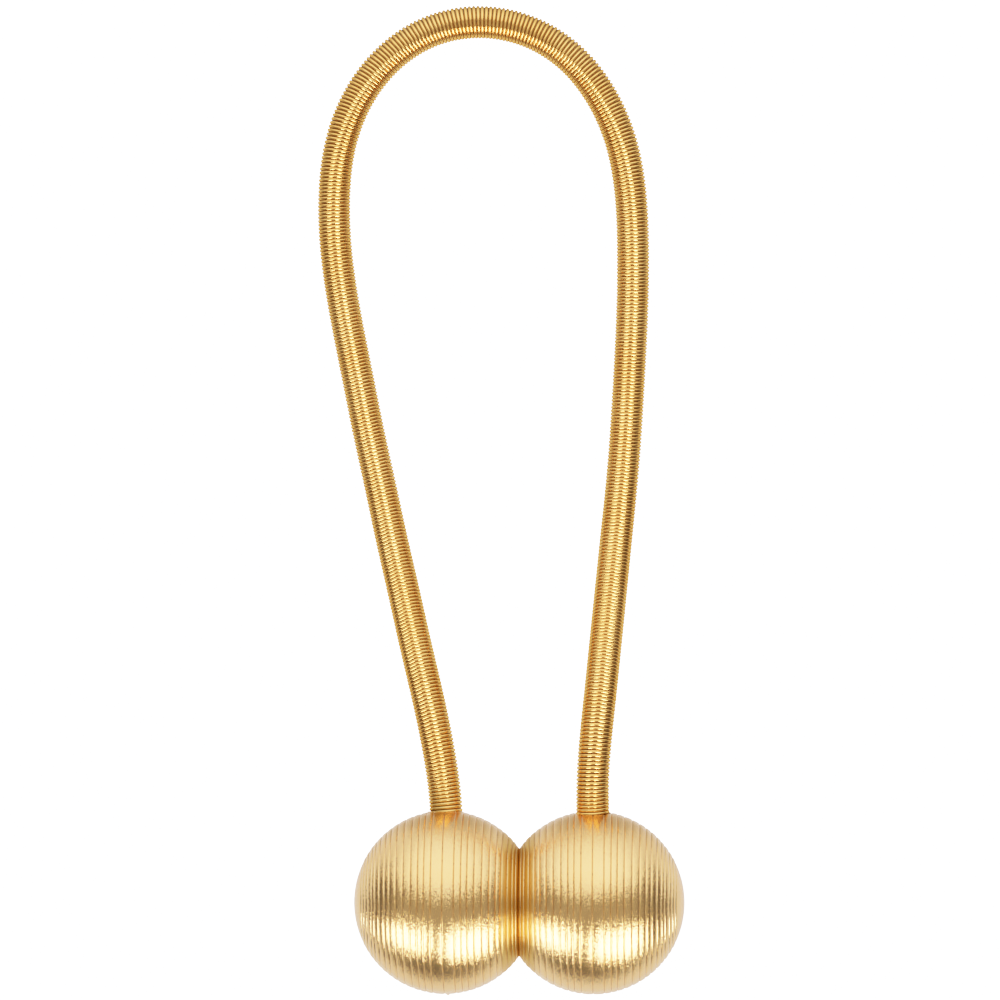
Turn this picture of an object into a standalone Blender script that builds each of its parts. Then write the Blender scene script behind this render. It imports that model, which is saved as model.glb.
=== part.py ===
"""Magnetic curtain tieback: two ribbed balls on the ends of a wire-wound cord.

The tieback lies closed on a table. +X runs through both balls, +Y points from
the balls to the far end of the loop, and +Z is up. The origin is on the table
under the plane where the two balls part. Lengths are in metres.
"""
import math

import bmesh
import bpy
import numpy as np
from mathutils import Matrix, Vector

MM = 0.001

# Balls, each turned about the line through both centres.
BALL_RADIUS = 17.5 * MM
CENTRE_OFFSET = 14.15 * MM      # from the parting plane to a ball's centre
PARTING_GAP = 0.3 * MM          # between the two flat faces
FOOT_RADIUS = 3.5 * MM          # the small flat spot that a ball stands on
CENTRE_HEIGHT = math.sqrt(BALL_RADIUS ** 2 - FOOT_RADIUS ** 2)
TURN_STEPS = 28

# Rib widths in degrees of arc, from the ball's middle groove outwards. The
# pattern is the same on both sides of the middle groove.
RIB_WIDTHS = (7.2, 4.4, 4.0, 4.6, 5.2, 5.1, 4.8, 4.0, 4.6, 4.2, 3.3, 4.5, 4.1, 3.8)
GROOVE_HALF_WIDTH = 0.75        # degrees of arc
GROOVE_DEPTH = 0.25 * MM
CAP_STEPS = 4                   # plain round cap beyond the last groove

# Disc magnets, seated in the flat faces.
MAGNET_RADIUS = 6.0 * MM
MAGNET_THICKNESS = 3.0 * MM
MAGNET_EDGE = 0.2 * MM
SEAT_CLEARANCE = 0.3 * MM

# Cord, and the blind socket that it enters in each ball.
CORD_DIAMETER = 6.3 * MM
CORD_STEP = 1.2 * CORD_DIAMETER
SOCKET_CLEARANCE = 0.4 * MM
SOCKET_FLOOR = 11.7 * MM        # from the ball's centre to the socket's floor
SOCKET_RISE = {"left": -3.0, "right": 4.0}   # degrees above level

# The cord's own line, from the left socket round the loop to the right one.
# It leaves the balls level, comes down and then lies on the table.
ROUTE_MM = (
    # x, y, z
    (-14.05, 12.0, 16.5),
    (-14.05, 17.5, 16.2),
    (-14.5, 22.5, 15.9),
    (-15.7, 30.0, 15.2),
    (-17.9, 40.0, 13.2),
    (-20.4, 50.0, 10.1),
    (-22.8, 60.0, 7.0),
    (-25.2, 70.0, 4.7),
    (-27.4, 80.0, 3.5),
    (-29.6, 90.0, 3.2),
    (-31.6, 100.0, 3.2),
    (-34.5, 115.0, 3.2),
    (-36.0, 126.0, 3.2),
    (-36.3, 136.0, 3.2),
    (-35.1, 146.0, 3.2),
    (-31.4, 155.5, 3.2),
    (-25.4, 163.0, 3.2),
    (-17.4, 168.0, 3.2),
    (-8.3, 169.7, 3.2),
    (0.8, 168.1, 3.2),
    (9.0, 163.3, 3.2),
    (15.0, 156.2, 3.2),
    (19.2, 147.0, 3.2),
    (21.1, 137.5, 3.2),
    (21.7, 126.0, 3.2),
    (21.5, 112.0, 3.2),
    (20.9, 100.0, 3.2),
    (20.3, 90.0, 3.2),
    (19.5, 80.0, 3.7),
    (18.5, 70.0, 5.3),
    (17.5, 60.0, 8.2),
    (16.5, 50.0, 11.9),
    (15.5, 40.0, 15.5),
    (14.5, 30.0, 18.0),
    (14.05, 22.5, 18.6),
    (14.05, 17.5, 18.4),
    (14.05, 12.0, 18.0),
)

MERGE = 0.00001
SIDES = {"left": -1, "right": 1}


def clear_scene():
    """Remove every object and collection that the file opened with."""
    for old in list(bpy.data.objects):
        bpy.data.objects.remove(old, do_unlink=True)
    for old in list(bpy.data.collections):
        bpy.data.collections.remove(old)


def new_collection(name):
    """Make a collection under the scene's own one."""
    collection = bpy.data.collections.new(name)
    bpy.context.scene.collection.children.link(collection)
    return collection


def metal(name, colour, roughness):
    """Make a metallic Principled material."""
    material = bpy.data.materials.new(name)
    material.use_nodes = True
    shader = material.node_tree.nodes["Principled BSDF"]
    shader.inputs["Base Color"].default_value = (*colour, 1.0)
    shader.inputs["Metallic"].default_value = 1.0
    shader.inputs["Roughness"].default_value = roughness
    return material


def mesh_object(name, bm, collection, material=None):
    """Turn a bmesh into a named object."""
    mesh = bpy.data.meshes.new(name)
    bm.to_mesh(mesh)
    bm.free()
    obj = bpy.data.objects.new(name, mesh)
    collection.objects.link(obj)
    if material:
        mesh.materials.append(material)
    return obj


def cutter(name, bm, collection):
    """Make an object that only cuts others."""
    obj = mesh_object(name, bm, collection)
    obj.hide_render = True
    obj.display_type = "WIRE"
    return obj


def cut(obj, tool):
    """Take a cutter's shape out of an object."""
    modifier = obj.modifiers.new("cut_" + tool.name, "BOOLEAN")
    modifier.operation = "DIFFERENCE"
    modifier.solver = "EXACT"
    modifier.object = tool


def cylinder(radius, low, high, segments):
    """A closed cylinder along Z from low to high."""
    bm = bmesh.new()
    middle = Matrix.Translation((0.0, 0.0, (low + high) / 2))
    bmesh.ops.create_cone(bm, cap_ends=True, segments=segments, radius1=radius, radius2=radius,
                          depth=high - low, matrix=middle)
    return bm


def groove_angles():
    """Angles of one ball's grooves from its middle, the parting side negative."""
    steps = np.cumsum(RIB_WIDTHS)
    flat_angle = math.degrees(math.asin((CENTRE_OFFSET - PARTING_GAP / 2) / BALL_RADIUS))
    inner = [-step for step in steps if step < flat_angle - 2 * GROOVE_HALF_WIDTH]
    return sorted([*steps, 0.0, *inner], reverse=True)


def ball_profile():
    """Half section of a ball, from its outer pole down to its flat face."""
    def on_ball(degrees, radius=BALL_RADIUS):
        angle = math.radians(degrees)
        return radius * math.cos(angle), radius * math.sin(angle)

    grooves = groove_angles()
    cap_edge = grooves[0] + GROOVE_HALF_WIDTH
    points = [(0.0, BALL_RADIUS)]
    points += [on_ball(90 - (90 - cap_edge) * step / CAP_STEPS) for step in range(1, CAP_STEPS)]
    for groove in grooves:
        points.append(on_ball(groove + GROOVE_HALF_WIDTH))
        points.append(on_ball(groove, BALL_RADIUS - GROOVE_DEPTH))
        points.append(on_ball(groove - GROOVE_HALF_WIDTH))
    flat = -(CENTRE_OFFSET - PARTING_GAP / 2)
    seat_radius = MAGNET_RADIUS + SEAT_CLEARANCE
    seat_floor = flat + MAGNET_THICKNESS + SEAT_CLEARANCE
    points.append((math.sqrt(BALL_RADIUS ** 2 - flat ** 2), flat))
    points += [(seat_radius, flat), (seat_radius, seat_floor), (0.0, seat_floor)]
    return points


def add_socket(side, ball, cutters):
    """Drill the blind socket that the cord's end enters."""
    rise = math.radians(SOCKET_RISE[side])
    direction = Vector((0.0, math.cos(rise), math.sin(rise)))
    radius = CORD_DIAMETER / 2 + SOCKET_CLEARANCE
    drill = cutter("socket_" + side, cylinder(radius, SOCKET_FLOOR, BALL_RADIUS * 1.2, 24), cutters)
    drill.location = ball.location
    drill.rotation_euler = direction.to_track_quat("Z", "Y").to_euler()
    cut(ball, drill)


def add_foot(side, ball, cutters):
    """Cut the small flat spot that the ball stands on."""
    bm = bmesh.new()
    bmesh.ops.create_cube(bm, size=BALL_RADIUS)
    slab = cutter("foot_" + side, bm, cutters)
    slab.location = (ball.location.x, 0.0, -BALL_RADIUS / 2)
    cut(ball, slab)


def add_ball(side, parts, cutters, material):
    """One ribbed ball, with its flat face towards the other."""
    bm = bmesh.new()
    verts = [bm.verts.new((radius, 0.0, height)) for radius, height in ball_profile()]
    for upper, lower in zip(verts, verts[1:]):
        bm.edges.new((upper, lower))
    ball = mesh_object("ball_" + side, bm, parts, material)
    turn = ball.modifiers.new("turn", "SCREW")
    turn.axis = "Z"
    turn.steps = TURN_STEPS
    turn.render_steps = TURN_STEPS
    turn.use_merge_vertices = True
    turn.merge_threshold = MERGE
    turn.use_smooth_shade = False
    ball.location = (SIDES[side] * CENTRE_OFFSET, 0.0, CENTRE_HEIGHT)
    ball.rotation_euler = (0.0, SIDES[side] * math.pi / 2, 0.0)
    add_socket(side, ball, cutters)
    add_foot(side, ball, cutters)
    return ball


def add_magnet(side, parts, material):
    """One disc magnet, flush with its ball's flat face."""
    disc = cylinder(MAGNET_RADIUS, 0.0, MAGNET_THICKNESS, 32)
    magnet = mesh_object("magnet_" + side, disc, parts, material)
    edge = magnet.modifiers.new("edge", "BEVEL")
    edge.width = MAGNET_EDGE
    edge.segments = 1
    edge.limit_method = "ANGLE"
    edge.angle_limit = math.radians(60)
    magnet.location = (SIDES[side] * PARTING_GAP / 2, 0.0, CENTRE_HEIGHT)
    magnet.rotation_euler = (0.0, SIDES[side] * math.pi / 2, 0.0)
    magnet.data.shade_smooth()
    magnet.data.set_sharp_from_angle(angle=math.radians(40))
    return magnet


def natural_spline(points):
    """Smooth curve through points: its knots and its second derivatives."""
    knots = np.concatenate(([0.0], np.cumsum(np.linalg.norm(np.diff(points, axis=0), axis=1))))
    spans = np.diff(knots)
    count = len(points)
    system = np.eye(count)
    target = np.zeros_like(points)
    for row in range(1, count - 1):
        before, after = spans[row - 1], spans[row]
        system[row, row - 1:row + 2] = before, 2 * (before + after), after
        slope_after = (points[row + 1] - points[row]) / after
        slope_before = (points[row] - points[row - 1]) / before
        target[row] = 6 * (slope_after - slope_before)
    return knots, np.linalg.solve(system, target)


def spline_points(points, step):
    """Points a step apart along the natural cubic spline through the given ones."""
    knots, bends = natural_spline(points)
    count = round(knots[-1] / step) + 1
    result = []
    for along in np.linspace(0.0, knots[-1], count):
        span = min(int(np.searchsorted(knots, along, side="right")) - 1, len(points) - 2)
        length = knots[span + 1] - knots[span]
        after = (along - knots[span]) / length
        before = 1.0 - after
        straight = before * points[span] + after * points[span + 1]
        curve = (before ** 3 - before) * bends[span] + (after ** 3 - after) * bends[span + 1]
        result.append(straight + curve * length ** 2 / 6)
    return result


def add_cord(parts, material):
    """The cord as a plain tube along its route."""
    route = spline_points(np.array(ROUTE_MM) * MM, CORD_STEP)
    curve = bpy.data.curves.new("loop_cord", "CURVE")
    curve.dimensions = "3D"
    curve.bevel_depth = CORD_DIAMETER / 2
    curve.bevel_resolution = 4
    curve.use_fill_caps = True
    spline = curve.splines.new("POLY")
    spline.points.add(len(route) - 1)
    for point, place in zip(spline.points, route):
        point.co = (*place, 1.0)
    spline.use_smooth = True
    cord = bpy.data.objects.new("loop_cord", curve)
    curve.materials.append(material)
    parts.objects.link(cord)
    return cord


def build():
    """Make the whole tieback."""
    clear_scene()
    parts = new_collection("magnetic_curtain_tieback")
    cutters = new_collection("cutters")
    satin_gold = metal("satin_gold", (0.83, 0.63, 0.33), 0.35)
    gold_wire = metal("gold_wire", (0.80, 0.55, 0.20), 0.2)
    nickel = metal("nickel_plate", (0.72, 0.71, 0.69), 0.25)

    centre = bpy.data.objects.new("tieback_centre", None)
    parts.objects.link(centre)
    pieces = [add_cord(parts, gold_wire)]
    for side in SIDES:
        pieces.append(add_ball(side, parts, cutters, satin_gold))
        pieces.append(add_magnet(side, parts, nickel))
    for piece in pieces:
        piece.parent = centre


build()
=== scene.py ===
"""Looks of a magnetic curtain tieback: two ribbed gold balls on a wire-wound cord.

The tieback lies closed on a table. +X runs through both balls, +Y points from the
balls to the far end of the loop, +Z is up, and lengths are in metres. Each ball is
turned about the line through both centres, and the cord is one long wire wound
round a thin core.
"""

import logging
import math
from dataclasses import dataclass, field
from enum import Enum
from typing import Any

import bmesh
import bpy
import numpy as np
from mathutils import Matrix, Quaternion, Vector


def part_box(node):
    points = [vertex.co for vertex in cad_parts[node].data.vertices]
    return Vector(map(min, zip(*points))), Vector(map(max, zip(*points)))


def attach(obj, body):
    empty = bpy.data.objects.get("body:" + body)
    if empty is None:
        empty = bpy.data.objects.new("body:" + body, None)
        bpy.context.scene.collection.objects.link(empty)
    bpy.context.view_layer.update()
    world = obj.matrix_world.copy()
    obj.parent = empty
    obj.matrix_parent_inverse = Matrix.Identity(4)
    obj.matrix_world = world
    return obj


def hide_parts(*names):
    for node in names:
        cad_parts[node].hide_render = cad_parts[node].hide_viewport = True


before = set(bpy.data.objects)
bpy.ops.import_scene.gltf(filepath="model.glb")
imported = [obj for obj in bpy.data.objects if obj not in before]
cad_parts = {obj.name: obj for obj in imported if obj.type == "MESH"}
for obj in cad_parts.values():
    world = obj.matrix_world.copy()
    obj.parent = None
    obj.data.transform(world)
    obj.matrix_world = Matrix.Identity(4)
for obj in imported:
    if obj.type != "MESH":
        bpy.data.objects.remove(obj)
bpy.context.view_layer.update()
LOG = logging.getLogger("tieback")
MM = 0.001
BODY = "root"

Colour = tuple[float, float, float]
Direction = tuple[float, float, float]
Span = tuple[float, float]


class Side(Enum):
    """The two ends of the cord, by the sign of X on their side."""

    LEFT = -1
    RIGHT = 1

    @property
    def label(self) -> str:
        """The side's word in the names of its pieces."""
        return self.name.lower()


class Slot(Enum):
    """The record's material slots that the scene's own pieces take."""

    SATIN_GOLD = "satin_gold"
    GOLD_WIRE = "gold_wire"


# ---------------------------------------------------------------- shader maths


class Signal:
    """A number that a shader works out, on which Python's operators add Math nodes."""

    def __init__(self, shader: "Shader", socket: bpy.types.NodeSocket) -> None:
        """Wrap a socket of a shader."""
        self.shader = shader
        self.socket = socket

    def _math(self, operation: str, *terms: Any) -> "Signal":
        """Add one Math node on some terms."""
        node = self.shader.node("ShaderNodeMath", {"operation": operation}, dict(enumerate(terms)))
        return Signal(self.shader, node.outputs[0])

    def __add__(self, other: Any) -> "Signal":
        """self + other"""
        return self._math("ADD", self, other)

    def __sub__(self, other: Any) -> "Signal":
        """self - other"""
        return self._math("SUBTRACT", self, other)

    def __rsub__(self, other: Any) -> "Signal":
        """other - self"""
        return self._math("SUBTRACT", other, self)

    def __mul__(self, other: Any) -> "Signal":
        """self * other"""
        return self._math("MULTIPLY", self, other)

    __radd__ = __add__
    __rmul__ = __mul__


class Shader:
    """The nodes of one material or world."""

    def __init__(self, tree: bpy.types.NodeTree) -> None:
        """Start from an empty tree."""
        self.tree = tree
        tree.nodes.clear()

    def node(self, kind: str, settings: dict[str, Any], inputs: dict[Any, Any]) -> bpy.types.Node:
        """Add a node.

        Args:
            kind: The node's type.
            settings: Its own properties, set first.
            inputs: A value, a Signal or a socket for each of its sockets.

        Returns:
            The node.
        """
        node = self.tree.nodes.new(kind)
        for name, value in settings.items():
            setattr(node, name, value)
        for name, value in inputs.items():
            source = value.socket if isinstance(value, Signal) else value
            if isinstance(source, bpy.types.NodeSocket):
                self.tree.links.new(source, node.inputs[name])
            else:
                node.inputs[name].default_value = source
        return node

    def noise(self, place: bpy.types.NodeSocket, size: float, detail: float = 2.0) -> Signal:
        """Noise from 0 to 1 whose blobs are about a size across, in metres."""
        node = self.node("ShaderNodeTexNoise", {}, {"Vector": place, "Scale": 1.0 / size, "Detail": detail})
        return Signal(self, node.outputs["Fac"])

    def smooth(self, value: Signal, low: float, high: float) -> Signal:
        """Step smoothly from 0 to 1.

        Args:
            value: What is looked at.
            low: Where the step starts.
            high: Where it ends.

        Returns:
            The step's height.
        """
        node = self.node(
            "ShaderNodeMapRange",
            {"interpolation_type": "SMOOTHSTEP"},
            {"Value": value, "From Min": low, "From Max": high},
        )
        return Signal(self, node.outputs["Result"])

    def mix(self, share: Signal, first: Any, second: Any) -> bpy.types.NodeSocket:
        """Mix two colours.

        Args:
            share: How much of the second colour there is.
            first: A colour or a socket.
            second: A colour or a socket.

        Returns:
            The mixed colour.
        """
        ends = [(*end, 1.0) if isinstance(end, tuple) else end for end in (first, second)]
        # The node has a set of sockets for each kind of data, and those for colours are 6, 7 and 2.
        inputs = {"Factor": share, 6: ends[0], 7: ends[1]}
        return self.node("ShaderNodeMix", {"data_type": "RGBA"}, inputs).outputs[2]

    def bump(self, height: Signal, distance: float) -> bpy.types.NodeSocket:
        """A normal tilted by a height field of that many metres from 0 to 1."""
        node = self.node("ShaderNodeBump", {}, {"Height": height, "Distance": distance})
        return node.outputs["Normal"]

    def vector(self, operation: str, inputs: dict[Any, Any]) -> bpy.types.NodeSocket:
        """The outcome of one Vector Math node."""
        return self.node("ShaderNodeVectorMath", {"operation": operation}, inputs).outputs[0]

    def along(self, place: bpy.types.NodeSocket, axis: str) -> Signal:
        """One coordinate of a place or a direction."""
        return Signal(self, self.node("ShaderNodeSeparateXYZ", {}, {0: place}).outputs[axis])

    def flakes(self, place: bpy.types.NodeSocket, size: float, tilt: float) -> bpy.types.NodeSocket:
        """Tilt the surface's normal by another amount on each small flake.

        Args:
            place: Where the surface is.
            size: How large the flakes are, in metres.
            tilt: The range of the tilt, as a share of the normal's length.

        Returns:
            The tilted normal.
        """
        normal = self.node("ShaderNodeNewGeometry", {}, {}).outputs["Normal"]
        cells = self.node("ShaderNodeTexVoronoi", {}, {"Vector": place, "Scale": 1.0 / size})
        turn = self.vector("SUBTRACT", {0: cells.outputs["Color"], 1: (0.5, 0.5, 0.5)})
        turn = self.vector("SCALE", {0: turn, "Scale": tilt})
        return self.vector("NORMALIZE", {0: self.vector("ADD", {0: normal, 1: turn})})

    def place(self) -> bpy.types.NodeSocket:
        """Places in the object's own space, in metres."""
        return self.node("ShaderNodeTexCoord", {}, {}).outputs["Object"]

    def attribute(self, name: str) -> Signal:
        """A number stored on the mesh's points."""
        node = self.node("ShaderNodeAttribute", {"attribute_name": name}, {})
        return Signal(self, node.outputs["Fac"])

    def surface(self, inputs: dict[str, Any]) -> None:
        """Finish the material with a Principled shader."""
        shader = self.node("ShaderNodeBsdfPrincipled", {}, inputs)
        self.node("ShaderNodeOutputMaterial", {}, {"Surface": shader.outputs[0]})


def new_material(name: str) -> tuple[bpy.types.Material, Shader]:
    """Make an empty node material.

    Args:
        name: The material's name.

    Returns:
        The material and its shader.
    """
    material = bpy.data.materials.new(name)
    material.use_nodes = True
    return material, Shader(material.node_tree)


# -------------------------------------------------------------------- finishes


@dataclass(frozen=True)
class SatinGold:
    """Pale gold satin coat of the balls, grainy enough to sparkle at a highlight's edge."""

    pale: Colour = (0.95, 0.55, 0.195)
    deep: Colour = (0.92, 0.52, 0.175)
    groove: Colour = (0.84, 0.62, 0.34)
    pit: Colour = (0.16, 0.09, 0.03)
    # Painted shade: near the plane where the balls meet, the coat darkens towards this colour.
    parting: Colour = (0.56, 0.31, 0.06)
    edge_tint: Colour = (0.92, 0.78, 0.60)
    roughness: float = 0.20
    lacquer: float = 0.8
    lacquer_roughness: float = 0.25
    flake_size: float = 0.14 * MM
    flake_tilt: float = 0.22
    cloud_size: float = 9.0 * MM
    cloud_span: Span = (0.35, 0.65)
    cloud_roughness: float = 0.04
    groove_roughness: float = 0.08
    pit_size: float = 0.45 * MM
    pit_span: Span = (0.60, 0.68)
    seam_shade_span: Span = (1.4 * MM, 4.2 * MM)
    seam_shade_share: float = 0.8
    parting_roughness: float = 0.10
    lacquer_lost: float = 0.7

    def material(self) -> bpy.types.Material:
        """Build the finish, with painted shade near the plane where the balls part: darker there, rougher
        and with less lacquer.

        Returns:
            The material.
        """
        material, shader = new_material("satin_gold_coat")
        place = shader.place()
        cloud = shader.noise(place, self.cloud_size)
        cut = shader.attribute("groove")
        pit = cut * shader.smooth(shader.noise(place, self.pit_size), *self.pit_span)
        # Painted shade near the seam between the balls: the base colour darkens there, and the coat is
        # rougher with less lacquer.
        beside = shader.along(place, "X")
        parting = 1.0 - shader.smooth(beside * beside, *(reach ** 2 for reach in self.seam_shade_span))
        coat = shader.mix(shader.smooth(cloud, *self.cloud_span), self.deep, self.pale)
        coat = shader.mix(self.seam_shade_share * parting, coat, self.parting)
        coat = shader.mix(cut, coat, self.groove)
        roughness = self.roughness + self.cloud_roughness * cloud + self.groove_roughness * cut
        shader.surface({
            "Base Color": shader.mix(pit, coat, self.pit),
            "Metallic": 1.0,
            "Roughness": roughness + self.parting_roughness * parting,
            "Specular Tint": (*self.edge_tint, 1.0),
            "Coat Weight": self.lacquer - self.lacquer_lost * parting,
            "Coat Roughness": self.lacquer_roughness,
            "Normal": shader.flakes(place, self.flake_size, self.flake_tilt),
        })
        return material


@dataclass(frozen=True)
class GoldWire:
    """Bright drawn wire with a warm gold plate, dulled here and there."""

    bright: Colour = (0.95, 0.52, 0.15)
    warm: Colour = (0.92, 0.47, 0.12)
    # Painted shade: the side of each turn that faces the core darkens towards this colour.
    crevice_shade: Colour = (0.62, 0.30, 0.05)
    dull: Colour = (0.36, 0.28, 0.09)
    edge_tint: Colour = (0.84, 0.66, 0.44)
    roughness: float = 0.12
    fleck_size: float = 0.5 * MM
    fleck_height: float = 0.001 * MM
    patch_size: float = 9.0 * MM
    patch_span: Span = (0.35, 0.65)
    patch_roughness: float = 0.05
    dull_roughness: float = 0.25
    crevice_span: Span = (0.10, 0.50)
    crevice_roughness: float = 0.15

    def material(self) -> bpy.types.Material:
        """Build the finish, with painted shade on the side of the wire that faces the core.

        Returns:
            The material.
        """
        material, shader = new_material("drawn_gold_wire")
        place = shader.place()
        fleck = shader.noise(place, self.fleck_size)
        patch = shader.noise(place, self.patch_size)
        dulled = shader.attribute("dulled")
        # Painted shade between the turns, on the side of the wire that faces the core.
        inward = shader.smooth(shader.attribute("inward"), *self.crevice_span)
        plate = shader.mix(shader.smooth(patch, *self.patch_span), self.warm, self.bright)
        plate = shader.mix(inward, plate, self.crevice_shade)
        roughness = self.roughness + self.patch_roughness * patch + self.dull_roughness * dulled
        shader.surface({
            "Base Color": shader.mix(dulled, plate, self.dull),
            "Metallic": 1.0,
            "Roughness": roughness + self.crevice_roughness * inward,
            "Specular Tint": (*self.edge_tint, 1.0),
            "Normal": shader.bump(fleck, self.fleck_height),
        })
        return material


@dataclass(frozen=True)
class CoreSleeve:
    """Half-bright brown sleeve of the cord's core, seen only between opened turns."""

    brown: Colour = (0.17, 0.09, 0.02)
    grey: Colour = (0.27, 0.17, 0.06)
    metallic: float = 0.85
    roughness: float = 0.50
    weave_size: float = 0.4 * MM
    weave_height: float = 0.03 * MM
    weave_span: Span = (0.3, 0.7)

    def material(self) -> bpy.types.Material:
        """Build the finish.

        Returns:
            The material.
        """
        material, shader = new_material("core_sleeve")
        weave = shader.noise(shader.place(), self.weave_size)
        shader.surface({
            "Base Color": shader.mix(shader.smooth(weave, *self.weave_span), self.brown, self.grey),
            "Metallic": self.metallic,
            "Roughness": self.roughness,
            "Normal": shader.bump(weave, self.weave_height),
        })
        return material


@dataclass(frozen=True)
class NickelPlate:
    """Nickel plate of the disc magnets, lightly scuffed where they meet."""

    plate: Colour = (0.66, 0.64, 0.60)
    scuffed: Colour = (0.50, 0.49, 0.47)
    roughness: float = 0.18
    scuff_size: float = 0.7 * MM
    scuff_height: float = 0.004 * MM
    scuff_detail: float = 4.0
    scuff_span: Span = (0.5, 0.7)
    scuff_roughness: float = 0.2

    def material(self) -> bpy.types.Material:
        """Build the finish.

        Returns:
            The material.
        """
        material, shader = new_material("nickel_plated_magnet")
        scuff = shader.noise(shader.place(), self.scuff_size, self.scuff_detail)
        worn = shader.smooth(scuff, *self.scuff_span)
        shader.surface({
            "Base Color": shader.mix(worn, self.plate, self.scuffed),
            "Metallic": 1.0,
            "Roughness": self.roughness + self.scuff_roughness * worn,
            "Normal": shader.bump(scuff, self.scuff_height),
        })
        return material


# ---------------------------------------------------------------------- meshes


def tube_mesh(name: str, rings: np.ndarray) -> bpy.types.Mesh:
    """Join closed rings of points into one closed body.

    Args:
        name: The mesh's name.
        rings: Points by ring, place on the ring and coordinate. Seen along the
            rings' order, each ring runs clockwise.

    Returns:
        The mesh, with its faces pointing out.
    """
    count, sides = rings.shape[:2]
    here = np.arange(sides)
    after = (here + 1) % sides
    first = sides * np.arange(count - 1)[:, None]
    quads = np.stack([first + here, first + after, first + sides + after, first + sides + here], axis=-1)
    faces = quads.reshape(-1, 4).tolist()
    faces.append(here[::-1].tolist())
    faces.append((sides * (count - 1) + here).tolist())
    mesh = bpy.data.meshes.new(name)
    mesh.from_pydata(rings.reshape(-1, 3), [], faces)
    mesh.shade_smooth()
    return mesh


def point_values(mesh: bpy.types.Mesh, name: str, values: np.ndarray) -> None:
    """Store one number on each point of a mesh, under a name."""
    layer = mesh.attributes.new(name, "FLOAT", "POINT")
    layer.data.foreach_set("value", values.astype(np.float32).ravel())


def mesh_of(name: str, shape: bmesh.types.BMesh) -> bpy.types.Mesh:
    """Write a shape into a new mesh, and free the shape.

    Args:
        name: The mesh's name.
        shape: The shape.

    Returns:
        The mesh.
    """
    mesh = bpy.data.meshes.new(name)
    shape.to_mesh(mesh)
    shape.free()
    return mesh


def show(name: str, mesh: bpy.types.Mesh) -> bpy.types.Object:
    """Put a mesh into the scene.

    Args:
        name: The object's name.
        mesh: Its mesh.

    Returns:
        The object.
    """
    piece = bpy.data.objects.new(name, mesh)
    bpy.context.scene.collection.objects.link(piece)
    return piece


# ------------------------------------------------------------------------ cord


@dataclass
class Route:
    """Smooth curve through the cord's own points: a natural cubic spline."""

    points: np.ndarray
    knots: np.ndarray = field(init=False)
    bends: np.ndarray = field(init=False)

    def __post_init__(self) -> None:
        """Solve for the curve's second derivatives."""
        spans = np.linalg.norm(np.diff(self.points, axis=0), axis=1)
        self.knots = np.concatenate(([0.0], np.cumsum(spans)))
        equations = np.eye(len(self.points))
        target = np.zeros_like(self.points)
        slopes = np.diff(self.points, axis=0) / spans[:, None]
        for row in range(1, len(spans)):
            middle = 2 * (spans[row - 1] + spans[row])
            equations[row, row - 1:row + 2] = spans[row - 1], middle, spans[row]
            target[row] = 6 * (slopes[row] - slopes[row - 1])
        self.bends = np.linalg.solve(equations, target)

    def at(self, along: np.ndarray) -> tuple[np.ndarray, np.ndarray, np.ndarray]:
        """Follow the curve.

        Args:
            along: Distances along the chords between the route's points.

        Returns:
            The places there, and their first and second derivatives.
        """
        span = np.clip(np.searchsorted(self.knots, along, side="right") - 1, 0, len(self.points) - 2)
        length = (self.knots[span + 1] - self.knots[span])[:, None]
        after = (along[:, None] - self.knots[span][:, None]) / length
        before = 1.0 - after
        start, end = self.points[span], self.points[span + 1]
        start_bend, end_bend = self.bends[span], self.bends[span + 1]
        sway = (before ** 3 - before) * start_bend + (after ** 3 - after) * end_bend
        place = before * start + after * end + sway * length ** 2 / 6
        sway = (1 - 3 * before ** 2) * start_bend + (3 * after ** 2 - 1) * end_bend
        first = (end - start) / length + sway * length / 6
        return place, first, before * start_bend + after * end_bend


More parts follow.
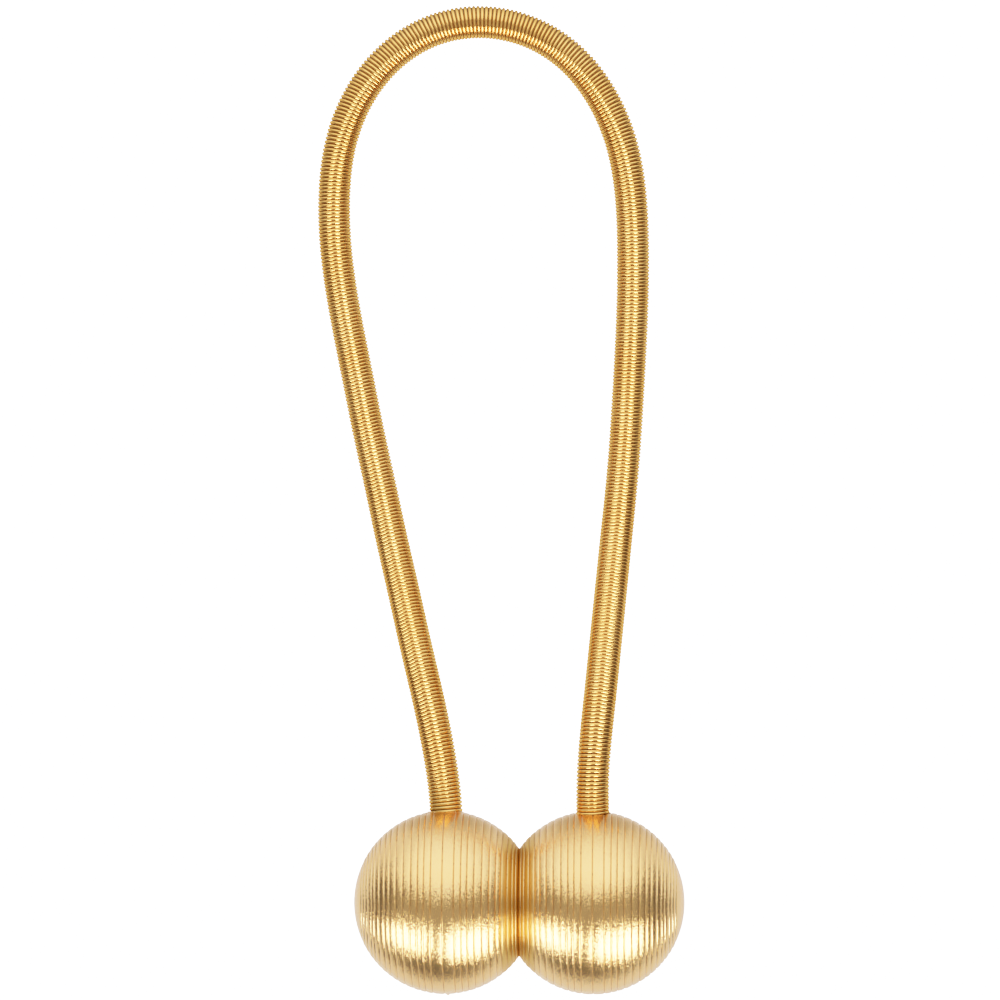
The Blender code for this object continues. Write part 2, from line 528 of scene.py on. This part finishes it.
@dataclass
class WoundCord:
    """The loop: one wire wound close round a thin core, from socket to socket."""

    diameter: float = 6.3 * MM
    over_crests: float = 6.48 * MM
    wire: float = 0.67 * MM
    length: float = 0.35
    turn_steps: int = 24
    wire_sides: int = 8
    first_turn: float = 0.3
    fine_steps: int = 6000
    core_step: float = 2.5 * MM
    core_sides: int = 16
    core_radius: float = 2.90 * MM
    dulled_reach: float = 7.0 * MM
    dulled_towards: Direction = (-0.5, 0.0, 0.866)
    dulled_span: Span = (0.75, 0.95)
    path_points: int = 400
    route_mm: tuple[tuple[float, float, float], ...] = (
        (-14.05, 12.0, 16.5), (-14.05, 17.5, 16.2), (-14.5, 22.5, 15.9), (-15.7, 30.0, 15.2),
        (-17.9, 40.0, 13.2), (-20.4, 50.0, 10.1), (-22.8, 60.0, 7.0), (-25.2, 70.0, 4.7),
        (-27.4, 80.0, 3.5), (-29.6, 90.0, 3.2), (-31.6, 100.0, 3.2), (-34.5, 115.0, 3.2),
        (-36.0, 126.0, 3.2), (-36.3, 136.0, 3.2), (-35.1, 146.0, 3.2), (-31.4, 155.5, 3.2),
        (-25.4, 163.0, 3.2), (-17.4, 168.0, 3.2), (-8.3, 169.7, 3.2), (0.8, 168.1, 3.2),
        (9.0, 163.3, 3.2), (15.0, 156.2, 3.2), (19.2, 147.0, 3.2), (21.1, 137.5, 3.2),
        (21.7, 126.0, 3.2), (21.5, 112.0, 3.2), (20.9, 100.0, 3.2), (20.3, 90.0, 3.2),
        (19.5, 80.0, 3.7), (18.5, 70.0, 5.3), (17.5, 60.0, 8.2), (16.5, 50.0, 11.9),
        (15.5, 40.0, 15.5), (14.5, 30.0, 18.0), (14.05, 22.5, 18.6), (14.05, 17.5, 18.4),
        (14.05, 12.0, 18.0),
    )
    exit_point: int = 1

    def __post_init__(self) -> None:
        """Lay the route out."""
        self.route = Route(np.array(self.route_mm) * MM)
        self.coil_radius = (self.over_crests - self.wire) / 2

    def _turn_angles(self) -> tuple[np.ndarray, np.ndarray]:
        """Wind the wire so that its turns touch inside bends.

        Returns:
            Distances along the route, and the wire's turn angle at each.
        """
        along = np.linspace(0.0, self.route.knots[-1], self.fine_steps)
        _, first, second = self.route.at(along)
        speed = np.linalg.norm(first, axis=1)
        bend = np.linalg.norm(np.cross(first, second), axis=1) / speed ** 3
        pitch = self.wire / (1.0 - self.coil_radius * bend)
        rate = 2 * math.pi * speed / pitch
        steps = np.diff(along) * (rate[1:] + rate[:-1]) / 2
        return along, np.concatenate(([0.0], np.cumsum(steps)))

    @staticmethod
    def _axes(first: np.ndarray) -> tuple[np.ndarray, np.ndarray]:
        """Find the cord's own upward and sideways directions.

        Args:
            first: The route's first derivatives.

        Returns:
            The two directions at each place.
        """
        forward = first / np.linalg.norm(first, axis=1, keepdims=True)
        up = np.array([0.0, 0.0, 1.0]) - forward * forward[:, 2:]
        up /= np.linalg.norm(up, axis=1, keepdims=True)
        return up, np.cross(forward, up)

    @staticmethod
    def _rings(centre: np.ndarray, out: np.ndarray, side: np.ndarray, radius: float,
               sides: int) -> np.ndarray:
        """Lay circles of points.

        Args:
            centre: The circles' middles.
            out: The direction of each circle's first point.
            side: The other direction in each circle's plane.
            radius: The circles' radius.
            sides: How many points each has.

        Returns:
            Points by circle, place on the circle and coordinate.
        """
        turn = 2 * math.pi * np.arange(sides) / sides
        offset = np.cos(turn)[None, :, None] * out[:, None] + np.sin(turn)[None, :, None] * side[:, None]
        return centre[:, None] + radius * offset

    def _wire_mesh(self) -> bpy.types.Mesh:
        """Wind the wire right-handed, and mark where it is dulled and what faces the core.

        Returns:
            The wire's mesh.
        """
        along, angles = self._turn_angles()
        count = int(angles[-1] / (2 * math.pi) * self.turn_steps)
        angle = np.linspace(0.0, angles[-1], count)
        place, first, _ = self.route.at(np.interp(angle, angles, along))
        up, side = self._axes(first)
        turn = (angle + 2 * math.pi * self.first_turn)[:, None]
        out = np.cos(turn) * up + np.sin(turn) * side
        centre = place + self.coil_radius * out
        ahead = np.gradient(centre, axis=0)
        ahead /= np.linalg.norm(ahead, axis=1, keepdims=True)
        out -= ahead * np.sum(out * ahead, axis=1, keepdims=True)
        out /= np.linalg.norm(out, axis=1, keepdims=True)
        rings = self._rings(centre, out, np.cross(ahead, out), self.wire / 2, self.wire_sides)
        mesh = tube_mesh("gold_wire", rings)
        dulled = np.exp(-np.linalg.norm(place - place[0], axis=1) ** 2 / self.dulled_reach ** 2)
        faces_dull = np.interp(out @ np.array(self.dulled_towards), self.dulled_span, (0.0, 1.0))
        dulled *= faces_dull
        point_values(mesh, "dulled", np.repeat(dulled, self.wire_sides))
        inward = (1.0 - np.cos(2 * math.pi * np.arange(self.wire_sides) / self.wire_sides)) / 2
        point_values(mesh, "inward", np.tile(inward, count))
        LOG.info("the wire has %.0f turns", angles[-1] / (2 * math.pi))
        return mesh

    def _core_mesh(self) -> bpy.types.Mesh:
        """Lay the core inside the turns.

        Returns:
            The core's mesh.
        """
        along = np.arange(0.0, self.route.knots[-1], self.core_step)
        place, first, _ = self.route.at(along)
        up, side = self._axes(first)
        return tube_mesh("core", self._rings(place, up, side, self.core_radius, self.core_sides))

    def build(self) -> bpy.types.Object:
        """Returns:
            The cord.
        """
        finishes = (GoldWire().material(), CoreSleeve().material())
        wire = self._wire_mesh()
        core = self._core_mesh()
        joined = bmesh.new()
        joined.from_mesh(wire)
        wire_faces = len(joined.faces)
        joined.from_mesh(core)
        joined.faces.ensure_lookup_table()
        for face in joined.faces[wire_faces:]:
            face.material_index = 1
        mesh = mesh_of("wound_cord", joined)
        for finish, part in zip(finishes, (wire, core)):
            mesh.materials.append(finish)
            bpy.data.meshes.remove(part)
        cord = show("wound_cord", mesh)
        path, _, _ = self.route.at(np.linspace(0.0, self.route.knots[-1], self.path_points))
        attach(cord, BODY)
        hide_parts("loop_cord")
        return cord


# ----------------------------------------------------------------------- balls


@dataclass
class RibbedBall:
    """One ball, turned about the line through both centres, with its socket and magnet seat.

    Angles are in degrees, and a rib's width is an angle too. The two rises, of the socket's
    axis over the table, and the two lip heights are for the left ball and the right one.
    """

    side: Side
    finish: bpy.types.Material
    rib_widths: tuple[float, ...] = (
        7.2, 4.4, 4.0, 4.6, 5.2, 5.1, 4.8, 4.0, 4.6, 4.2, 3.3, 4.5, 4.1, 3.8,
    )
    parting: float = 0.03 * MM
    groove_half_width: float = 0.14 * MM
    groove_depth: float = 0.15 * MM
    crown: float = 0.055 * MM
    groove_stations: tuple[float, ...] = (-1.0, -0.7, -0.4, -0.15, 0.0, 0.15, 0.4, 0.7, 1.0)
    groove_sharpness: float = 1.5
    least_rib: float = 1.5
    land_step: float = 0.25 * MM
    lip_land_step: float = 0.12 * MM
    cap_step: float = 2.5
    cap_end: float = 89.0
    rim_round: float = 0.15 * MM
    seat_radius: float = 6.3 * MM
    seat_depth: float = 3.3 * MM
    turn_step: float = 3.0
    lip_turn_step: float = 0.45
    lip_reach: float = 15.0
    lip_width: float = 0.24 * MM
    hole_radius: float = 3.30 * MM
    hole_floor: float = 11.7 * MM
    drill_sides: int = 96
    drill_reach: float = 1.2
    nib_radius: float = 0.42 * MM
    nib_height: float = 0.30 * MM
    nib_turn_step: float = 0.6
    nib_reach: float = 4.0
    nib_towards: Direction = (0.028, -1.0, 0.0)
    crease: float = 42.0
    rises: tuple[float, float] = (-3.0, 4.0)
    lip_heights: tuple[float, float] = (0.16 * MM, 0.03 * MM)

    def __post_init__(self) -> None:
        """Take the ball's place and size from the frame."""
        low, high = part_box(f"ball_{self.side.label}")
        self.radius = -low.y
        outer = low.x if self.side is Side.LEFT else high.x
        self.centre = np.array([outer - self.side.value * self.radius, 0.0, high.z - self.radius])
        self.flat = abs(self.centre[0]) - self.parting
        which = list(Side).index(self.side)
        self.rise = self.rises[which]
        self.lip_height = self.lip_heights[which]

    def _grooves(self) -> np.ndarray:
        """Set the grooves out from the ball's middle, with no sliver of a rib at the flat.

        Returns:
            Their angles, rising, those on the parting side negative.
        """
        outer = np.cumsum(self.rib_widths)
        limit = math.degrees(math.asin(self.flat / self.radius)) - self.least_rib
        inner = outer[outer < limit]
        return np.concatenate((-inner[::-1], [0.0], outer))

    def _profile_angles(self, grooves: np.ndarray) -> np.ndarray:
        """Set the profile's points out, closer together in grooves and near the socket.

        Args:
            grooves: Angles of the grooves.

        Returns:
            The points' angles, rising.
        """
        edge = math.degrees(math.asin(self.flat / self.radius))
        half = math.degrees(self.groove_half_width / self.radius)
        inside = np.array(self.groove_stations) * half
        angles = [grooves[:, None] + inside]
        bounds = np.concatenate(([-edge - half], grooves))
        for low, high in zip(bounds, grooves):
            near_socket = max(abs(low), abs(high)) < self.lip_reach
            step = self.lip_land_step if near_socket else self.land_step
            count = round(math.radians(high - low - 2 * half) * self.radius / step)
            angles.append(np.linspace(low + half, high - half, count + 2)[1:-1])
        angles.append(np.arange(grooves[-1] + half, self.cap_end, self.cap_step)[1:])
        angles.append(np.array([-edge, self.cap_end]))
        return np.unique(np.concatenate([np.ravel(some) for some in angles]))

    def _height(self, angles: np.ndarray, grooves: np.ndarray) -> tuple[np.ndarray, np.ndarray]:
        """Height over the plain ball, and how deep in a groove, from 0 to 1.

        Args:
            angles: Angles of the profile's points.
            grooves: Angles of the grooves.

        Returns:
            The height and the depth share at each angle.
        """
        off = np.min(np.abs(angles[:, None] - grooves), axis=1)
        share = np.clip(1.0 - np.radians(off) * self.radius / self.groove_half_width, 0.0, 1.0)
        share = share ** self.groove_sharpness
        rib = np.clip(np.searchsorted(grooves, angles, side="right") - 1, 0, len(grooves) - 2)
        middle = (grooves[rib] + grooves[rib + 1]) / 2
        across = np.clip((angles - middle) / (grooves[rib + 1] - grooves[rib]) * 2, -1.0, 1.0)
        plain = angles > grooves[-1]
        crown = np.where(plain, 0.0, self.crown * (1.0 - across ** 2))
        return crown - self.groove_depth * share, share

    def _turn_angles(self) -> np.ndarray:
        """Set points out round the ball's axis, closer together near the socket and the nib.

        Returns:
            Their angles from +Y.
        """
        far = 180.0 - self.rise
        fine = np.arange(-self.lip_reach, self.lip_reach, self.lip_turn_step)
        first = np.arange(self.lip_reach, far - self.nib_reach, self.turn_step)
        nib = np.arange(far - self.nib_reach, far + self.nib_reach, self.nib_turn_step)
        last = np.arange(far + self.nib_reach, 360.0 - self.lip_reach, self.turn_step)
        return np.radians(np.concatenate((fine, first, nib, last)) + self.rise)

    def _socket_direction(self) -> np.ndarray:
        """The direction in which the cord leaves the ball."""
        rise = math.radians(self.rise)
        return np.array([0.0, math.cos(rise), math.sin(rise)])

    def _skin(self) -> tuple[np.ndarray, np.ndarray]:
        """Shape the ribbed outside, with the lip round the socket and the left ball's nib.

        Returns:
            Rings from the flat's rim to the outer pole, and how deep in a groove each point is.
        """
        grooves = self._grooves()
        angles = self._profile_angles(grooves)
        height, share = self._height(angles, grooves)
        turn = self._turn_angles()
        arc = np.radians(angles)
        direction = np.stack(
            [
                np.repeat(np.sin(arc)[:, None] * self.side.value, len(turn), axis=1),
                np.cos(arc)[:, None] * np.cos(turn),
                np.cos(arc)[:, None] * np.sin(turn),
            ],
            axis=-1,
        )
        along = direction @ self._socket_direction()
        from_axis = self.radius * np.sqrt(np.clip(1.0 - along ** 2, 0.0, 1.0))
        lip = np.exp(-((from_axis - self.hole_radius - self.lip_width / 2) / self.lip_width) ** 2)
        lip *= (along > 0) * self.lip_height
        if self.side is Side.LEFT:
            from_nib = self.radius * np.linalg.norm(direction - np.array(self.nib_towards), axis=-1)
            lip += self.nib_height * np.exp(-(from_nib / self.nib_radius) ** 2)
        rings = self.centre + direction * (self.radius + height[:, None] + lip)[..., None]
        return rings, np.repeat(share, len(turn))

    def _seat(self) -> np.ndarray:
        """Shape the flat face and the magnet's seat.

        Returns:
            Rings from the seat's floor out.
        """
        turn = self._turn_angles()
        rim = math.sqrt(self.radius ** 2 - self.flat ** 2)
        steps = (
            (self.seat_radius, self.flat - self.seat_depth),
            (self.seat_radius, self.flat),
            (rim - 2 * self.rim_round, self.flat),
        )
        rings = [
            self.centre + np.stack([
                np.full_like(turn, -self.side.value * depth), radius * np.cos(turn), radius * np.sin(turn),
            ], axis=-1)
            for radius, depth in steps
        ]
        return np.array(rings)

    def _body_mesh(self) -> bpy.types.Mesh:
        """Turn the whole body, before its socket is drilled.

        Returns:
            The body's mesh.
        """
        skin, share = self._skin()
        seat = self._seat()
        rings = np.concatenate((seat, skin))
        if self.side is Side.RIGHT:
            rings = rings[:, ::-1]
            share = share.reshape(len(skin), -1)[:, ::-1].ravel()
        mesh = tube_mesh(f"ribbed_ball_{self.side.label}", rings)
        seat_share = np.zeros(seat.shape[0] * seat.shape[1])
        point_values(mesh, "groove", np.concatenate((seat_share, share)))
        return mesh

    def _drill(self) -> bpy.types.Object:
        """Make the cutter of the socket.

        Returns:
            The cutter, which is removed after its cut.
        """
        direction = self._socket_direction()
        reach = self.radius * self.drill_reach
        drill = bmesh.new()
        middle = Matrix.Translation((0.0, 0.0, (self.hole_floor + reach) / 2))
        bmesh.ops.create_cone(drill, cap_ends=True, segments=self.drill_sides, radius1=self.hole_radius,
                              radius2=self.hole_radius, depth=reach - self.hole_floor, matrix=middle)
        drill.transform(Vector(direction).to_track_quat("Z", "Y").to_matrix().to_4x4())
        drill.transform(Matrix.Translation(self.centre))
        return show("drill", mesh_of("drill", drill))

    def _table(self) -> bpy.types.Object:
        """Make the cutter of the flat spot that the ball stands on.

        Returns:
            The cutter, which is removed after its cut.
        """
        table = bmesh.new()
        middle = Matrix.Translation((self.centre[0], 0.0, -self.radius / 2))
        bmesh.ops.create_cube(table, size=self.radius, matrix=middle)
        return show("table", mesh_of("table", table))

    def _cut(self, ball: bpy.types.Object, cutters: list[bpy.types.Object]) -> None:
        """Take the cutters out of the ball for good.

        Args:
            ball: The ball.
            cutters: Closed objects, which are removed afterwards.
        """
        for cutter in cutters:
            modifier = ball.modifiers.new(cutter.name, "BOOLEAN")
            modifier.operation = "DIFFERENCE"
            modifier.solver = "EXACT"
            modifier.object = cutter
        whole = ball.data
        depsgraph = bpy.context.evaluated_depsgraph_get()
        ball.data = bpy.data.meshes.new_from_object(ball.evaluated_get(depsgraph))
        ball.modifiers.clear()
        bpy.data.meshes.remove(whole)
        for cutter in cutters:
            bpy.data.meshes.remove(cutter.data)

    def build(self) -> bpy.types.Object:
        """Turn, drill and dress the ball.

        Returns:
            The ball.
        """
        name = f"ribbed_ball_{self.side.label}"
        ball = show(name, self._body_mesh())
        self._cut(ball, [self._drill(), self._table()])
        ball.data.name = name
        ball.data.shade_smooth()
        ball.data.set_sharp_from_angle(angle=math.radians(self.crease))
        ball.data.materials.clear()
        ball.data.materials.append(self.finish)
        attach(ball, BODY)
        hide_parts(f"ball_{self.side.label}")
        return ball


@dataclass
class DiscMagnets:
    """The two magnets, which are hidden while the balls are closed."""

    finish: bpy.types.Material

    def dress(self) -> list[bpy.types.Object]:
        """Give the frame's own magnets their plate.

        Returns:
            The magnets.
        """
        magnets = [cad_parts[f"magnet_{side.label}"] for side in Side]
        for magnet in magnets:
            magnet.data.materials.clear()
            magnet.data.materials.append(self.finish)
        return magnets


# ---------------------------------------------------------------------- studio


@dataclass(frozen=True)
class SoftBox:
    """A soft light, and the direction in which it hangs from what it lights."""

    name: str
    direction: Direction
    roll: float
    width: float
    height: float
    radiance: float
    distance: float = 0.9

    def hang(self, target: Vector, lit: list[bpy.types.Object]) -> None:
        """Hang the light so that it shines at a point.

        Args:
            target: The point.
            lit: The pieces that the light is meant for.
        """
        light = bpy.data.lights.new(self.name, "AREA")
        light.shape = "RECTANGLE"
        light.size = self.width
        light.size_y = self.height
        # An even, flat lamp gives off pi times its radiance on each square metre.
        light.energy = self.radiance * math.pi * self.width * self.height
        lamp = bpy.data.objects.new(self.name, light)
        bpy.context.scene.collection.objects.link(lamp)
        back = Vector(self.direction).normalized()
        lamp.location = target + back * self.distance
        lamp.rotation_mode = "QUATERNION"
        roll = Quaternion((0.0, 0.0, 1.0), math.radians(self.roll))
        lamp.rotation_quaternion = back.to_track_quat("Z", "Y") @ roll
        lamp.visible_camera = False
        receivers = bpy.data.collections.new(f"{self.name}_lit")
        for piece in lit:
            receivers.objects.link(piece)
        lamp.light_linking.receiver_collection = receivers


@dataclass
class Studio:
    """Pale table, soft light and the camera above.

    The room's light is set by direction: how far up, ahead or aside it comes from decides
    between two colours, and each span says where one turns into the other.
    """

    target: Vector = field(default_factory=lambda: Vector((-3.69, 76.96, 17.15)) * MM)
    camera_distance: float = 0.96
    camera_tilt: float = 1.7
    lens: float = 180.66
    table_size: float = 40.0
    table_colour: Colour = (0.9, 0.9, 0.9)
    table_roughness: float = 0.9
    table_glow: float = 5.0
    glow_colour: Colour = (1.0, 1.0, 1.0)
    tent_segments: tuple[int, int] = (48, 24)
    shoulder: float = 1.2
    shoulder_white: float = 5.0
    shoulder_points: int = 14
    shoulder_crowding: float = 1.6
    dark_low: Colour = (0.10, 0.095, 0.09)
    dark_high: Colour = (0.40, 0.38, 0.34)
    dark_rise: Span = (0.0, 0.6)
    wall_low: Colour = (1.35, 1.35, 1.35)
    wall_high: Colour = (2.20, 2.20, 2.18)
    wall_rise: Span = (-0.3, 0.6)
    wall_edge: Span = (0.26, 0.56)
    wall_lean: float = 0.18
    wall_curve: float = 0.08
    wall_fade: float = 0.15
    wall_fade_span: Span = (0.1, 0.8)
    table_light: Colour = (1.28, 1.28, 1.28)
    table_inside: Colour = (0.66, 0.63, 0.58)
    table_edge: Span = (0.1, 0.55)
    inside_ahead: Span = (0.1, 0.6)
    inside_aside: Span = (0.02, 0.3)
    cord_middle: Direction = (0.0, 0.1, 0.0)
    # Each soft box has its name, its direction, its roll, its width and height, and its radiance.
    ball_boxes: tuple[SoftBox, ...] = (
        SoftBox("soft_box_left", (-0.66, -0.60, 0.43), 48.0, 0.68, 0.38, 10.0),
        SoftBox("soft_box_right", (0.46, -0.74, 0.49), -35.5, 0.86, 0.56, 10.0),
    )
    cord_boxes: tuple[SoftBox, ...] = (
        SoftBox("cord_box_left", (-0.44, -0.74, 0.509), 0.0, 0.26, 0.64, 12.0),
        SoftBox("cord_box_right", (0.319, -0.76, 0.566), 0.0, 0.25, 0.64, 19.0),
        SoftBox("cord_box_side", (-0.98, 0.14, 0.13), 0.0, 0.60, 0.70, 0.50),
        SoftBox("cord_box_over", (0.0, -0.1, 0.99), 0.0, 1.00, 0.60, 0.50),
    )

    def set_camera(self) -> None:
        """Hang the camera over the loop."""
        tilt = math.radians(self.camera_tilt)
        back = Vector((math.sin(tilt), 0.0, math.cos(tilt)))
        data = bpy.data.cameras.new("camera")
        data.lens = self.lens
        camera = bpy.data.objects.new("camera", data)
        bpy.context.scene.collection.objects.link(camera)
        camera.location = self.target + back * self.camera_distance
        camera.rotation_euler = (0.0, tilt, 0.0)
        bpy.context.scene.camera = camera

    def set_tone(self) -> None:
        """Roll the brightest tones off softly towards white."""
        settings = bpy.context.scene.view_settings
        settings.view_transform = "Standard"
        settings.use_curve_mapping = True
        mapping = settings.curve_mapping
        mapping.white_level = (self.shoulder_white,) * 3
        # The fourth curve acts on all three colours alike.
        tone = mapping.curves[3]
        full = 1.0 - math.exp(-self.shoulder * self.shoulder_white)
        places = np.linspace(0.0, 1.0, self.shoulder_points) ** self.shoulder_crowding
        for place in places[1:-1]:
            value = (1.0 - math.exp(-self.shoulder * self.shoulder_white * place)) / full
            tone.points.new(place, value)
        mapping.update()

    def _glow(self) -> bpy.types.Material:
        """Build the pale white of the table and the tent round it.

        Returns:
            The material.
        """
        material, shader = new_material("pale_table")
        shader.surface({
            "Base Color": (*self.table_colour, 1.0),
            "Roughness": self.table_roughness,
            "Emission Color": (*self.glow_colour, 1.0),
            "Emission Strength": self.table_glow,
        })
        return material

    def set_table(self) -> None:
        """Lay the pale table and stand a white tent round it."""
        glow = self._glow()
        half = self.table_size / 2
        round_about, up_down = self.tent_segments
        top = bmesh.new()
        bmesh.ops.create_grid(top, x_segments=1, y_segments=1, size=half)
        tent = bmesh.new()
        bmesh.ops.create_uvsphere(tent, u_segments=round_about, v_segments=up_down, radius=half)
        for name, shape in (("table_top", top), ("tent", tent)):
            stage = show(name, mesh_of(name, shape))
            stage.data.materials.append(glow)
            stage.visible_glossy = False
            stage.visible_diffuse = False
            stage.visible_shadow = False

    def _room(self, shader: Shader) -> bpy.types.NodeSocket:
        """Colour the room: a pale wall ahead, a pale table below and dark between them.

        Args:
            shader: The world's shader.

        Returns:
            The room's light in each direction.
        """
        direction = shader.node("ShaderNodeTexCoord", {}, {}).outputs["Generated"]
        beside, ahead, up = (shader.along(direction, axis) for axis in "XYZ")
        aside = beside * beside
        dark = shader.mix(shader.smooth(up, *self.dark_rise), self.dark_low, self.dark_high)
        wall = shader.mix(shader.smooth(up, *self.wall_rise), self.wall_low, self.wall_high)
        edge = ahead + self.wall_lean * up - self.wall_curve * aside
        fade = 1.0 - self.wall_fade * shader.smooth(aside, *self.wall_fade_span)
        room = shader.mix(shader.smooth(edge, *self.wall_edge) * fade, dark, wall)
        inside = shader.smooth(ahead, *self.inside_ahead)
        inside = inside * (1.0 - shader.smooth(aside, *self.inside_aside))
        table = shader.mix(inside, self.table_light, self.table_inside)
        return shader.mix(shader.smooth(0.0 - up, *self.table_edge), room, table)

    def set_light(self, cord: bpy.types.Object, balls: list[bpy.types.Object]) -> None:
        """Set the room's own soft light, and hang soft boxes in it.

        Args:
            cord: The wound cord.
            balls: The two balls.
        """
        world = bpy.data.worlds.new("room")
        world.use_nodes = True
        bpy.context.scene.world = world
        shader = Shader(world.node_tree)
        background = shader.node("ShaderNodeBackground", {}, {"Color": self._room(shader)})
        shader.node("ShaderNodeOutputWorld", {}, {"Surface": background.outputs[0]})
        for box in self.ball_boxes:
            box.hang(Vector((0.0, 0.0, self.target.z)), balls)
        for box in self.cord_boxes:
            box.hang(Vector(self.cord_middle), [cord])


def main() -> None:
    """Build the tieback and its studio."""
    logging.basicConfig(level=logging.INFO, format="%(name)s: %(message)s")
    studio = Studio()
    studio.set_camera()
    cord = WoundCord().build()
    satin = SatinGold().material()
    balls = [RibbedBall(side, satin).build() for side in Side]
    magnets = DiscMagnets(NickelPlate().material()).dress()
    studio.set_tone()
    studio.set_table()
    studio.set_light(cord, balls)
    for piece in [cord, *balls, *magnets]:
        LOG.info("%s: %d points, %d faces", piece.name, len(piece.data.vertices), len(piece.data.polygons))


if __name__ == "__main__":
    main()
